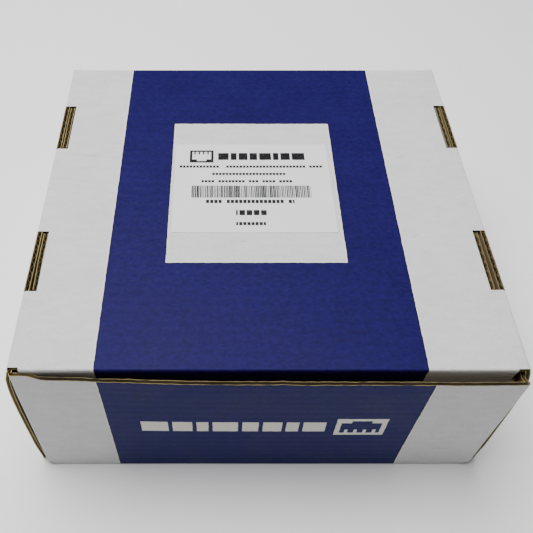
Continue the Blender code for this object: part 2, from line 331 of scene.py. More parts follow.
KRAFT = kraft("kraft_liner", (0.270, 0.185, 0.100))
# Painted shade: the side walls' inside kraft is painted darker near the tray's front, in the
# pockets where the ears tuck in.
SHADED_POCKET_KRAFT = kraft("kraft_liner_pocket_painted_shade", (0.270, 0.185, 0.100), front=(0.004, 0.045, 0.40))
# Painted light: the cut edges and fluting are painted lighter just behind the tray's front.
CUT_EDGE = kraft("cut_liner_edge", (0.135, 0.108, 0.038), patch=0.40,
                 light=(0.275, 0.216, 0.082), front=PAINTED_FRONT_LIGHT)
FLUTING = kraft("fluting_medium", (0.068, 0.053, 0.018), 0.9, 0.30,
                light=(0.112, 0.085, 0.030), front=PAINTED_FRONT_LIGHT)
# The flap's torn edge and its fluting are painted lighter at the far left, like the cut edges
# above: painted highlight.
FLAP_EDGE = kraft("worn_liner_edge_and_highlight", (0.155, 0.118, 0.044), patch=0.35, light=(0.30, 0.24, 0.10))
FLAP_FLUTING = kraft("worn_fluting_and_highlight", (0.036, 0.026, 0.010), 0.9, 0.35, (0.17, 0.13, 0.055))


def piece(name, verts, faces, mats, marks, body, node, sharp=35):
    """One mesh object that rides on a body and stands in for a node."""
    mesh = bpy.data.meshes.new(name)
    mesh.from_pydata(verts, [], faces)
    for mat in mats:
        mesh.materials.append(mat)
    if marks:
        mesh.polygons.foreach_set("material_index", marks)
    bm = bmesh.new()
    bm.from_mesh(mesh)
    bmesh.ops.recalc_face_normals(bm, faces=bm.faces)
    bm.to_mesh(mesh)
    bm.free()
    mesh.shade_smooth()
    mesh.set_sharp_from_angle(angle=radians(sharp))
    obj = bpy.data.objects.new(name, mesh)
    link(obj)
    if body:
        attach(obj, body)
    if node:
        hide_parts(node)
    return obj


# ------------ boards: liners on a fluted core
def lines(low, high, *extra):
    """Row lines across the flutes: evenly spaced, with the extra ones among them."""
    count = max(2, round((high - low) / PITCH * PITCH_STEPS))
    grid = [low + (high - low) * i / count for i in range(count + 1)]
    for value in extra:
        if low < value < high:
            nearest = min(range(1, count), key=lambda i: abs(grid[i] - value))
            grid[nearest] = value
    return sorted(set(grid))


def columns(low, high, step, *extra):
    """Evenly spaced lines between low and high, without these two, and the extra ones."""
    count = max(1, round((high - low) / step))
    grid = [low + (high - low) * i / count for i in range(1, count)]
    return sorted(set(grid) | set(extra))


def row_cells(rows, span, cols, reach=None):
    """Quads of the board's outline. With reach, only those within it of the outline's ends."""
    cells = []
    for v0, v1 in zip(rows, rows[1:]):
        for (a0, b0), (a1, b1) in zip(span(v0 + EPS), span(v1 - EPS)):
            left, right = max(a0, a1), min(b0, b1)
            inner = [c for c in cols if left + EPS < c < right - EPS]
            deep = reach and rows[0] + reach < v0 and v1 < rows[-1] - reach
            if deep and right - left > 2.2 * reach:
                first = [c for c in inner if c < left + reach] + [left + reach]
                last = [right - reach] + [c for c in inner if c > right - reach]
                cells += quads([a0] + first, [a1] + first, v0, v1)
                cells += quads(last + [b0], last + [b1], v0, v1)
            else:
                cells += quads([a0] + inner + [b0], [a1] + inner + [b1], v0, v1)
    return cells


def rounded(edge, radius):
    """How much a row is shortened by a round corner, at a distance from the outline's edge."""
    inside = radius - min(edge, radius)
    return radius - sqrt(max(radius ** 2 - inside ** 2, 0.0))


def fold_columns(start, parts):
    """Columns round the two end folds, which start this far from the middle."""
    return [s * (start + QUARTER * i / parts) for s in (-1, 1) for i in range(parts + 1)]


def quads(low, high, v0, v1):
    """Quads between the points low on line v0 and the points high on line v1."""
    return [((low[k], v0), (low[k + 1], v0), (high[k + 1], v1), (high[k], v1))
            for k in range(len(low) - 1)]


def add_layer(verts, faces, marks, cells, bottom, top, place, slots):
    """One sheet of the board: a closed solid over the cells, from bottom(v) to top(v)."""
    index = {}
    uses = {}

    def vert(point, upper):
        key = (round(point[0], 7), round(point[1], 7), upper)
        if key not in index:
            index[key] = len(verts)
            w = top(point[1]) if upper else bottom(point[1])
            verts.append(place(point[0], point[1], w))
        return index[key]

    for cell in cells:
        up = [vert(p, True) for p in cell]
        down = [vert(p, False) for p in cell]
        faces.append(up)
        marks.append(slots[0])
        faces.append(down[::-1])
        marks.append(slots[1])
        for i in range(4):
            a, b = up[i], up[(i + 1) % 4]
            c, d = down[i], down[(i + 1) % 4]
            key = (min(a, b), max(a, b))
            uses.setdefault(key, []).append((a, b, d, c))
    for found in uses.values():
        if len(found) == 1:
            a, b, d, c = found[0]
            faces.append([b, a, c, d])
            marks.append(slots[2])


def board(name, node, rows, span, place, outer, cols=(), body="tray",
          reach=0.010, core=True, inside=KRAFT, edges=(CUT_EDGE, FLUTING)):
    """Builds one board. u runs along the flutes, v across them, and w from the inner face at 0
    to the outer one at the board's thickness. place(u, v, w) gives the point in the box."""
    verts, faces, marks = [], [], []
    crest = BOARD / 2 - LINER - MEDIUM / 2

    def sag(v):
        return -RIB * (1 - cos(2 * pi * v / PITCH)) / 2

    def wave(v):
        return BOARD / 2 + crest * cos(2 * pi * v / PITCH)

    cells = row_cells(rows, span, cols)
    add_layer(verts, faces, marks, cells, lambda v: BOARD - LINER + sag(v),
              lambda v: BOARD + sag(v), place, (0, 1, 2))
    add_layer(verts, faces, marks, cells, lambda v: 0.0, lambda v: LINER, place, (1, 1, 2))
    if core:
        near = row_cells(rows, span, cols, reach)
        add_layer(verts, faces, marks, near, lambda v: wave(v) - MEDIUM / 2,
                  lambda v: wave(v) + MEDIUM / 2, place, (3, 3, 3))
    return piece(name, verts, faces, (outer, inside, *edges), marks, body, node, 38)


# ------------ print layout
BAND = (-0.0871, 0.0798)                        # the blue band at the tray's front
SLANT = (0.0041, 0.0192)                        # the panel's print runs aside and spreads
BACK_BAND = [u * (1 + SLANT[1] * DEPTH) + SLANT[0] * DEPTH for u in BAND]
FLAP_BAND = (-0.0857, 0.0833)                   # across the lid and its flap
WINDOW = (-0.0548, 0.0472, TRAY_FRONT + 0.0688, TRAY_FRONT + 0.1880)


def mark(n, u, v, place, size, way):
    """A generic mark: a socket outline and a row of plain blocks. way is 1, or -1 upside down."""
    cx, cy = place

    def shape(u0, u1, v0, v1):
        corners = (*sorted((cx + way * size * u0, cx + way * size * u1)),
                   *sorted((cy + way * size * v0, cy + way * size * v1)))
        return n.block(u, v, corners, 0.0001)

    opening = [shape(-0.0672, -0.0448, -0.0050, 0.0078), shape(-0.0615, -0.0505, -0.0078, 0.0001)]
    socket = n.without(shape(-0.0700, -0.0420, -0.0105, 0.0105), n.either(opening))
    pins = [shape(-0.0650 + i * 0.0052, -0.0632 + i * 0.0052, 0.0034, 0.0078) for i in range(4)]
    blocks = []
    start = -0.0365
    for width in (0.0125, 0.0070, 0.0105, 0.0090, 0.0140, 0.0065, 0.0110, 0.0150):
        blocks.append(shape(start, start + width, -0.0060, 0.0060))
        start += width + 0.0024
    return n.either([socket] + pins + blocks)


def flap_mark(n, u, v):
    return mark(n, u, v, (-0.0020, 0.0552), 1.0, -1)


TOP_PRINT = liner_print("label_panel_print", "x", "y", BAND, WINDOW, slant=SLANT)
WALL_PRINT = liner_print("end_wall_print", "x", "z", BAND)
BACK_PRINT = liner_print("back_wall_print", "x", "z", BACK_BAND)
FLAP_PRINT = liner_print("front_flap_print", "x", "z", FLAP_BAND, marks=flap_mark, blue=LIGHTER_LID_BLUE)
LID_PRINT = liner_print("lid_print", "x", "y", FLAP_BAND, blue=LIGHTER_LID_BLUE)
SIDE_WHITE = liner_print("side_wall_white", "y", "z", flute_axis="y")
PLAIN_WHITE = liner_print("plain_white_liner", "x", "z")


# ------------ the tray's boards
def slot_rows(length, shift=0.0):
    """Row lines at the slots' ends."""
    return [edge + shift for c in SLOTS for edge in (c - length / 2, c + length / 2)]


def in_slot(v, length=SLOT_LENGTH, shift=0.0):
    return any(abs(v - shift - c) < length / 2 for c in SLOTS)


def panel_rows():
    """Row lines in v = distance behind the tray's front, with negative v round the front fold."""
    front = [FRONT_FOLD - FRONT_ARC + FRONT_ARC * i / 7 for i in range(8)]
    back = [DEPTH - BOARD + QUARTER * i / 5 for i in range(6)]
    slots = slot_rows(SLOT_LENGTH) + slot_rows(SLOT_LENGTH, SLOT_SHIFT)
    body = lines(FRONT_FOLD, DEPTH - BOARD)
    clear = [v for v in body if min(abs(v - edge) for edge in slots) > 0.0004]
    body = sorted(set(clear + slots))
    return front, body, back


def front_dent(x, y):
    """A short crease in the panel where its left front corner is pressed."""
    along = (x + 0.1204) / 0.0062
    across = (y - TRAY_FRONT - 0.0021 + 0.0028 * along) / 0.0007
    length = smooth((along + 0.25) / 0.3) * smooth((1.2 - along) / 0.4)
    return -0.0005 * length * exp(-across * across)


def front_lean(x, z):
    """How far the front wall leans in below its crease."""
    down = max(TOP - z, 0.0)
    return 0.0016 * (1 - exp(-down / 0.007)) * (1 - 0.6 * smooth((-0.112 - x) / 0.006))


def panel_sag(x, y):
    """The label panel dips a little where nothing holds it, most near its front edge."""
    across = 1 - (x / HALF) ** 2
    v = y - TRAY_FRONT
    lip = exp(-v / 0.009) * 0.0004
    dip = 0.0007 * across * sin(pi * min(max(v / DEPTH, 0), 1)) + lip * across
    return front_dent(x, y) - dip


def squared(turn, power=6):
    """How much further a pressed fold reaches at an angle than a round one, of power 2."""
    return (sin(turn) ** power + cos(turn) ** power) ** (-1 / power)


def place_panel(u, v, w):
    """The label panel with its front, back and side creases."""
    middle = abs(u) <= WALL_END + 0.00002
    if middle and v < FRONT_FOLD:
        turn = (FRONT_FOLD - v) / FRONT_ARC * HALF_PI
        r = (FRONT_FOLD - BOARD + w) * squared(turn, 4)
        y = TRAY_FRONT + FRONT_FOLD - r * sin(turn)
        z = TOP - FRONT_FOLD + r * cos(turn)
        z += panel_sag(u, y) * cos(turn)
        return (u, y + front_lean(u, z), z)
    if middle and v > DEPTH - BOARD:
        turn = (v - DEPTH + BOARD) / QUARTER * HALF_PI
        reach = w * squared(turn)
        return (u, TRAY_BACK - BOARD + reach * sin(turn), WALL_TOP + reach * cos(turn))
    y = TRAY_FRONT + v
    if abs(u) > FOLD_IN:
        turn = (abs(u) - FOLD_IN) / QUARTER * HALF_PI
        reach = w * squared(turn)
        x = FOLD_IN + reach * sin(turn)
        x += wall_bulge(y, WALL_TOP) * turn / HALF_PI
        return (copysign(x, u), y, WALL_TOP + reach * cos(turn))
    return (u, y, WALL_TOP + w + panel_sag(u, y))


def crease_columns():
    """Columns shared by the panel and the end walls, close together at the pressed corner."""
    fine = [-0.1240 + 0.0010 * i for i in range(14)]
    return sorted(set(columns(-0.110, FOLD_IN, 0.010) + fine + [-WALL_END, WALL_END]))


def make_label_panel():
    front, body, back = panel_rows()
    rows = sorted(set(front + [0.0, *CORNER_BACK] + body + [DEPTH] + back))
    cols = sorted(set(crease_columns() + fold_columns(FOLD_IN, 5)
                      + [-NARROW_IN, -SLOT_IN, SLOT_IN]))

    def span(v):
        if v < 0 or v > DEPTH:
            return [(-WALL_END, WALL_END)]
        if v < FRONT_FOLD or v > DEPTH - BOARD:
            edge = WALL_END + 0.00005
            parts = [(-PANEL_END, -edge), (-WALL_END, WALL_END), (edge, PANEL_END)]
            starts = (CORNER_BACK[0], 0, CORNER_BACK[1])
            return [part for part, start in zip(parts, starts) if v > start]
        left_in = NARROW_IN if v < DEPTH / 2 else SLOT_IN
        return [(-left_in if in_slot(v) else -PANEL_END,
                 SLOT_IN if in_slot(v, shift=SLOT_SHIFT) else PANEL_END)]

    board("label_panel_board", "label_panel", rows, span, place_panel, TOP_PRINT, cols)


def make_end_walls():
    fold_from = POCKET_OUT - BOARD
    flaps_top = TOP - CORNER_RELIEF

    def span(v):
        if v > flaps_top:
            return [(-WALL_END, WALL_END)]
        return [(-fold_from - QUARTER, fold_from + QUARTER)]

    def place_on(face, sign):
        def place(u, v, w):
            lean = front_lean(u, v) if sign < 0 else 0.0
            if abs(u) <= fold_from:
                return (u, face - sign * (BOARD - w) + lean, v)
            turn = (abs(u) - fold_from) / QUARTER * HALF_PI
            x = fold_from + w * sin(turn)
            return (copysign(x, u), face - sign * (BOARD - w * cos(turn)) + lean, v)
        return place

    cols = sorted(set(crease_columns() + fold_columns(fold_from, 4)))
    board("front_wall_board", "front_wall", lines(BOARD + 0.0004, TOP - FRONT_FOLD, flaps_top),
          span, place_on(TRAY_FRONT, -1), WALL_PRINT, cols)
    board("back_wall_board", "back_wall", lines(BOARD, WALL_TOP, flaps_top), span,
          place_on(TRAY_BACK, 1), BACK_PRINT, cols)


def wall_bulge(y, z):
    """How far a side wall is pushed out by the ear tucked in its front pocket."""
    v = y - TRAY_FRONT
    most, length = 0.0050, 0.105
    back = cos(HALF_PI * min(v / length, 1.0)) ** 2
    down = max(WALL_TOP - z, 0.0)
    rise = 1 - 0.88 * exp(-down / 0.013)
    foot = 0.80 + 0.20 * smooth((z - RIM) / 0.020)
    return most * back * rise * foot


def pressed_lip(v, z):
    """The left wall's front end springs out just under its crease, where the corner is pressed."""
    down = max(WALL_TOP - z, 0.0)
    return 0.0010 * smooth(down / 0.0015) * exp(-down / 0.006 - v / 0.006)


def make_side(side, sign):
    """One rolled side: the outer wall, the strip under it and the inner wall with its tabs."""
    shift = max(sign, 0) * SLOT_SHIFT

    def place_wall(u, v, w):
        y = TRAY_FRONT + v
        ragged = 0.00012 * wobble(v, 3 + sign, 0.0023) if u > WALL_TOP else 0.0
        flare = 1 + 0.35 * smooth((u - TOP + 0.0045) / 0.004)
        x = FOLD_IN + BOARD - (BOARD - w) * flare + wall_bulge(y, u)
        if sign < 0:
            x += pressed_lip(v, u)
        return (sign * x, y, u + ragged)

    def wall_span(v):
        low = RIM if v < RIM_NOTCH else RIM_FOLD
        low -= 0.0020 * smooth((0.026 - v) / 0.008)
        return [(low, TOP - 0.0003 if in_slot(v, shift=shift) else WALL_TOP)]

    cols = columns(RIM_FOLD, WALL_TOP, 0.0075, RIM_FOLD, WALL_TOP)
    rows = lines(0.0, DEPTH, RIM_NOTCH, *slot_rows(SLOT_LENGTH, shift))
    # The wall's inside kraft is painted darker in its front pocket: painted shade.
    board(f"{side}_side_wall_board", f"{side}_side_wall", rows, wall_span, place_wall,
          SIDE_WHITE, cols, inside=SHADED_POCKET_KRAFT)

    flat = FOLD_IN - INNER_OUT
    length = 2 * QUARTER + flat

    def place_strip(u, v, w):
        """Round the rim: down from the outer wall, across, and up to the inner wall."""
        y = TRAY_FRONT + v
        push = wall_bulge(y, RIM_FOLD) * (1 - smooth(u / length))
        if u < QUARTER:
            turn = u / BOARD
            x, drop = FOLD_IN + w * cos(turn), w * sin(turn)
        elif u < QUARTER + flat:
            x, drop = FOLD_IN - (u - QUARTER), w
        else:
            turn = (u - QUARTER - flat) / BOARD
            x, drop = INNER_OUT - w * sin(turn), w * cos(turn)
        return (sign * (x + push), y, RIM_FOLD - drop)

    cols = [QUARTER * i / 4 for i in range(1, 5)]
    cols += [QUARTER + flat + QUARTER * i / 4 for i in range(4)]
    board(f"{side}_roll_strip_board", f"{side}_roll_strip",
          lines(RIM_NOTCH, DEPTH - BOARD - 0.0006), lambda v: [(0.0, length)],
          place_strip, SIDE_WHITE, cols, reach=0.02)

    inner_top = WALL_TOP - 0.0003
    lean_from = 0.09 if sign > 0 else 0.02

    def place_inner(u, v, w):
        ragged = 0.00015 * wobble(v, 8 + sign, 0.0031) if u > WALL_TOP else 0.0
        near_top = smooth((u - TOP + 0.012) / 0.010)
        lean = 0.0009 * near_top * smooth((v - lean_from) / 0.06)
        lean += 0.0001 * wobble(v, 5 + sign, 0.02)
        flare = 1 + 0.28 * smooth((u - TOP + 0.0045) / 0.004)
        x = INNER_OUT + lean - (w - BOARD / 2) * flare - BOARD / 2
        return (sign * x, TRAY_FRONT + v, u + ragged)

    def inner_span(v):
        return [(RIM_FOLD, TOP - 0.0005 if in_slot(v, TAB_LENGTH, shift) else inner_top)]

    cols = columns(RIM_FOLD, inner_top, 0.012, inner_top)
    rows = lines(BOARD + 0.0006, DEPTH - BOARD - 0.0006, *slot_rows(TAB_LENGTH, shift))
    board(f"{side}_inner_wall_board", f"{side}_inner_wall", rows, inner_span, place_inner,
          SIDE_WHITE, cols)


def make_corner_flaps(side, sign):
    length, taper = 0.040, 0.008
    top = TOP - CORNER_RELIEF
    low = RIM_FOLD + 0.0004

    def span(v):
        cut = taper - min(v - low, top - v, taper)
        return [(0.0, length - cut)]

    fold_from = POCKET_OUT - BOARD

    def place_at(start, direction):
        def place(u, v, w):
            return (sign * (fold_from + w), start + direction * u, v)
        return place

    for end, start, way in (("front", TRAY_FRONT + BOARD, 1), ("back", TRAY_BACK - BOARD, -1)):
        node = f"{end}_{side}_corner_flap"
        board(f"{node}_board", node, lines(low, top), span, place_at(start, way),
              PLAIN_WHITE, reach=0.02)


# ------------ the lid's boards
def flap_bow(x, z):
    """How far the flap stands out in front of its creased plane: most right of the middle at
    the free edge, and pressed in at the left corner."""
    rise = smooth((z - 0.004) / (FLAP_TOP - 0.004)) * 0.35 + 0.65 * (z / FLAP_TOP) ** 1.6
    middle = 0.0023 * cos((x - 0.048) / 0.150 * 1.05)
    corner = -0.0012 * smooth((-0.112 - x) / 0.010)
    left = -0.0017 * smooth((-x - 0.03) / 0.09)
    return (middle + left + corner) * rise


def flap_edge(x):
    """Height of the flap's free edge: torn slightly uneven, and higher at the left corner."""
    step = 0.0012 * smooth((-0.113 - x) / 0.007) - 0.0004 * exp(-((x + 0.092) / 0.022) ** 2)
    step -= 0.0007 * smooth((x - 0.065) / 0.03)
    step += 0.0007 * exp(-((x - 0.0065) / 0.0014) ** 2)
    return step + 0.00022 * wobble(x, 2, 0.006) + 0.00016 * wobble(x, 5, 0.0019)


def end_taper(u, v):
    """The flap's left end comes in slightly towards its free edge."""
    return 0.0004 * smooth((v - 0.085) / 0.022) if u < -0.12 else 0.0


def ear_face(y, z):
    """Where the outer face of a tucked ear lies: it springs out against the side wall."""
    free = FLAP_HALF + 0.0018 * smooth((y - FRONT - BOARD) / 0.005)
    wall = FOLD_IN + wall_bulge(max(y, TRAY_FRONT), z) - 0.0005
    tied = smooth((y - FRONT - BOARD) / 0.003)
    return FLAP_HALF + (min(free, wall) - FLAP_HALF) * tied


def place_flap(u, v, w):
    fold_from = FLAP_HALF - BOARD
    near_top = smooth((v - FLAP_TOP + 0.004) / 0.004)
    z = v + flap_edge(u) * near_top + 0.00030 * near_top * wobble(u, 11 + 9 * w / BOARD, 0.0035)
    taper = end_taper(u, v)
    if abs(u) <= fold_from + EPS:
        y = FRONT + BOARD - w - flap_bow(u, v)
        return (u + taper, y, z)
    turn = (abs(u) - fold_from) / BOARD
    reach = w * (1 + 0.22 * sin(2 * turn) ** 2)
    x = copysign(fold_from + reach * sin(turn), u)
    return (x + taper, FRONT + BOARD - reach * cos(turn) - flap_bow(u, v), z)


def corner_trim(height):
    """How much the flap's ends are rounded off just above its crease."""
    edge = min(max(height, 0.0) / 0.0045, 1.0)
    return 0.0050 * (1 - sqrt(1 - (1 - edge) ** 2))


def make_lid():
    def lid_place(u, v, w):
        return (u, v, BOARD - w)

    board("lid_panel_board", "lid_panel", lines(FRONT + BOARD, TRAY_BACK - BOARD),
          lambda v: [(-FLAP_HALF, FLAP_HALF)], lid_place, LID_PRINT,
          columns(-FLAP_HALF, FLAP_HALF, 0.03), body="lid")

    fold_from = FLAP_HALF - BOARD

    def flap_span(v):
        end = fold_from + QUARTER - corner_trim(v - BOARD)
        return [(-end, end)]

    fine = [-0.126 + 0.0016 * i for i in range(158)]
    cols = sorted(set(fine + fold_columns(fold_from, 4)))
    rows = sorted(set(lines(BOARD, FLAP_TOP) + [BOARD + 0.0006 * i for i in range(1, 8)]))
    board("front_flap_board", "lid_front_flap", rows, flap_span, place_flap, FLAP_PRINT, cols,
          body="front_flap", edges=(FLAP_EDGE, FLAP_FLUTING))
    for side, sign in (("left", -1), ("right", 1)):
        make_ear(side, sign)
    make_crease("front_crease_board", FRONT, -1, FLAP_PRINT)
    make_crease("back_crease_board", TRAY_BACK, 1, LID_PRINT)


def make_ear(side, sign):
    depth = EAR_HIGH.y - FRONT - BOARD

    def span(v):
        return [(0.0, depth - rounded(min(v - EAR_FOOT, EAR_HEAD - v), 0.020))]

    def place(u, v, w):
        thick = 1 - 0.35 * smooth(u / 0.010)
        y = FRONT + BOARD + u
        x = ear_face(y, v) - (BOARD - w) * thick
        taper = end_taper(sign * FLAP_HALF, v) * (1 - smooth(u / 0.006))
        return (sign * x + taper, y - flap_bow(sign * FLAP_HALF, v), v)

    board(f"{side}_tuck_ear_board", f"{side}_tuck_ear", lines(EAR_FOOT, EAR_HEAD), span, place,
          PLAIN_WHITE, [0.0008 * i for i in range(1, 10)] + [0.010, 0.014, 0.019, 0.024],
          body="front_flap", reach=0.02)


def make_crease(name, face, sign, outer):
    """The board's own fold between the lid and what turns on it: a fixed quarter round across the
    joint, on no body.
    """
    centre_y = face - sign * BOARD

    def span(v):
        cut = 0.0050 + 0.0010 * (1 - v / QUARTER) if sign < 0 else 0.0006
        return [(-FLAP_HALF + cut, FLAP_HALF - cut)]

    def place(u, v, w):
        turn = v / QUARTER * HALF_PI
        reach = w * squared(turn)
        return (u, centre_y + sign * reach * sin(turn), BOARD - reach * cos(turn))

    rows = [QUARTER * i / 8 for i in range(9)]
    obj = board(name, None, rows, span, place, outer,
                columns(-0.12, 0.12, 0.02), body=None, core=False)
    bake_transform(obj)


# ------------ sticker
STICKER_LOW, STICKER_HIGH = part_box("label_sticker")


def sticker_paper():
    n = Nodes("sticker_print")
    drift = n.spread(n.noise(420, 2), -0.00008, 0.00008)
    u = n.plus(n.axis["x"], drift)
    v = n.plus(n.minus(n.axis["y"], TRAY_FRONT), drift)

    def greeked(width, seed, share):
        """Blocks along u, one to a cell, with some cells left empty as the gaps of words."""
        passed, chance = n.random_cells(u, width, seed)
        block = n.math("LESS_THAN", passed, 0.78)
        return n.times(block, n.math("LESS_THAN", chance, share))

    def bars(width, seed):
        """Bars of a random width, one to a cell."""
        passed, chance = n.random_cells(u, width, seed)
        return n.math("LESS_THAN", passed, n.math("MULTIPLY_ADD", chance, 0.48, 0.42))

    inks = [mark(n, u, v, (-0.0055, 0.1560), 0.54, 1)]
    # Each line's middle, left and right ends, half height and block spacing.
    rows = [(0.1466, -0.0500, 0.0410, 0.0010, 0.0021), (0.1400, -0.0290, 0.0170, 0.0010, 0.0021),
            (0.1335, -0.0360, 0.0220, 0.0010, 0.0021), (0.1162, -0.0350, 0.0210, 0.0014, 0.0025),
            (0.1070, -0.0145, 0.0040, 0.0021, 0.0043), (0.0982, -0.0146, 0.0030, 0.0013, 0.0024)]
    for row, (centre, left, right, half, cell) in enumerate(rows):
        line = n.block(u, v, (left, right, centre - half, centre + half), 0.0001)
        share = 1.0 if row == 4 else 0.87
        inks.append(n.times(line, greeked(cell, 3.0 + row, share)))
    bar_box = n.block(u, v, (-0.0417, 0.0316, 0.1194, 0.1297), 0.00008)
    inks.append(n.times(bar_box, bars(0.00104, 9.0)))
    ink = n.either(inks)
    cloud = n.noise(60, 4, 0.6)
    fibre = n.noise(1500, 2, 0.6)
    paper = n.scaled((0.710, 0.712, 0.716), n.between(cloud, 0.25, 0.75, 0.97, 1.02))
    fade = n.between(n.noise(900, 3, 0.7), 0.60, 0.85, 1.0, 0.7)
    colour = n.mix(n.times(ink, fade), paper, (0.007, 0.007, 0.008))
    n.shader.inputs["Specular IOR Level"].default_value = 0.12
    normal = n.bump(fibre, 0.00001, 0.4)
    normal = n.bump(n.noise(45, 3, 0.5), 0.00030, 0.35, normal)
    return n.finish(colour, n.spread(cloud, 0.36, 0.46), normal)


def make_sticker():
    """A thin sheet that follows the panel, with round corners that lift slightly."""
    half_u = (STICKER_HIGH.x - STICKER_LOW.x) / 2
    half_v = (STICKER_HIGH.y - STICKER_LOW.y) / 2
    centre = (STICKER_LOW + STICKER_HIGH) / 2
    paper, radius = 0.00009, 0.0010

    def span(v):
        width = half_u - rounded(half_v - abs(v - centre.y), radius)
        return [(centre.x - width, centre.x + width)]

    def place(u, v, w):
        near = hypot(max(abs(u - centre.x) - half_u + 0.007, 0),
                     max(abs(v - centre.y) - half_v + 0.007, 0))
        lift = 0.00020 * (near / 0.0099) ** 2
        return (u, v, TOP + panel_sag(u, v) + 0.00003 + lift + w)

    rounds = [radius * (1 - cos(HALF_PI * i / 5)) for i in range(6)]
    rows = [centre.y - half_v + r for r in rounds] + [centre.y + half_v - r for r in rounds]
    rows = sorted(rows + columns(centre.y - half_v + 0.003, centre.y + half_v - 0.003, 0.003))
    cols = columns(centre.x - half_u + 0.003, centre.x + half_u - 0.003, 0.003)
    verts, faces, marks = [], [], []
    add_layer(verts, faces, marks, row_cells(rows, span, cols), lambda v: 0.0,
              lambda v: paper, place, (0, 1, 1))
    edge = kraft("sticker_back", (0.66, 0.65, 0.62), 0.7)
    piece("label_sticker_paper", verts, faces, (sticker_paper(), edge), marks, "tray",
          "label_sticker")


# ------------ spool
SPOOL_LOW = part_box("spool_lower_flange")[0]
SPOOL_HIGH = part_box("spool_upper_flange")[1]
AXIS_Y = (SPOOL_LOW.y + SPOOL_HIGH.y) / 2
FLANGE_R = SPOOL_HIGH.x
FLANGE = 0.0035                                 # thickness of a flange's disc
BARREL_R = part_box("spool_barrel")[1].x
WINDING_LOW, WINDING_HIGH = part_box("cable_winding")
CABLE = 0.0052                                  # diameter
END_LOW, END_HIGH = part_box("cable_end")
TAPE_LOW, TAPE_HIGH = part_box("end_tape")


def moulded_plastic():
    n = Nodes("black_moulded_plastic")
    cloud = n.noise(40, 4, 0.6)
    grain = n.noise(1600, 2, 0.5)
    shade = n.spread(cloud, 0.85, 1.15)
    scuff = n.between(n.noise(75, 6, 0.75, (1, 1, 1), (2, 7, 1)), 0.62, 0.78, 0.0, 0.35)
    colour = n.mix(scuff, n.scaled((0.028, 0.029, 0.031), shade), (0.085, 0.086, 0.09))
    rough = n.plus(n.spread(cloud, 0.34, 0.46), n.times(scuff, 0.5))
    return n.finish(colour, rough, n.bump(grain, 0.00002, 0.5))


def wound_paper():
    """Paperboard tube with the seam of its spiral winding."""
    n = Nodes("wound_paper_tube")
    angle = n.math("ARCTAN2", n.minus(n.axis["y"], AXIS_Y), n.axis["x"])
    lift = n.math("DIVIDE", n.axis["z"], 0.055)
    turn = n.math("FRACT", n.plus(n.math("DIVIDE", angle, 2 * pi), lift))
    seam = n.strip(turn, 0.492, 0.508, 0.003)
    fibre = n.noise(600, 4, 0.65)
    shade = n.plus(n.spread(n.noise(35, 4), 0.9, 1.08),
                   n.spread(fibre, -0.1, 0.1))
    colour = n.mix(n.times(seam, 0.6), n.scaled((0.37, 0.26, 0.15), shade),
                   (0.12, 0.08, 0.04))
    return n.finish(colour, 0.82, n.bump(fibre, 0.00005, 0.6))


def jacket():
    n = Nodes("grey_cable_jacket")
    cloud = n.noise(90, 4, 0.6)
    shade = n.spread(cloud, 0.90, 1.08)
    dirt = n.between(n.noise(260, 5, 0.7, (1, 1, 1), (5, 1, 3)), 0.62, 0.76, 0.0, 0.35)
    colour = n.mix(dirt, n.scaled((0.330, 0.338, 0.345), shade), (0.20, 0.20, 0.20))
    return n.finish(colour, n.spread(cloud, 0.36, 0.50),
                    n.bump(n.noise(500, 3, 0.5), 0.00003, 0.4))


def clear_tape():
    n = Nodes("packing_tape")
    cloud = n.noise(120, 4, 0.6, (1, 1, 3))
    colour = n.scaled((0.56, 0.50, 0.36), n.spread(cloud, 0.85, 1.08))
    return n.finish(colour, n.spread(cloud, 0.14, 0.28),
                    n.bump(n.noise(160, 3, 0.5, (1, 1, 4)), 0.00012, 0.5))


def round_axis(r, angle, z):
    return (r * cos(angle), AXIS_Y + r * sin(angle), z)


def ring_faces(count, pairs):
    """Quads between pairs of rings, each of this many points."""
    return [(j * count + i, j * count + (i + 1) % count,
             k * count + (i + 1) % count, k * count + i) for j, k in pairs for i in range(count)]


def lathe(profile, steps, pocket=None):
    """Turns a closed profile of (radius, height, share of the pocket's depth)."""
    verts = []
    for angle in steps:
        depth = pocket(angle) if pocket else 0.0
        verts += [round_axis(r, angle, z + share * depth) for r, z, share in profile]
    rings = range(len(steps))
    return verts, ring_faces(len(profile), zip(rings, [*rings[1:], 0]))


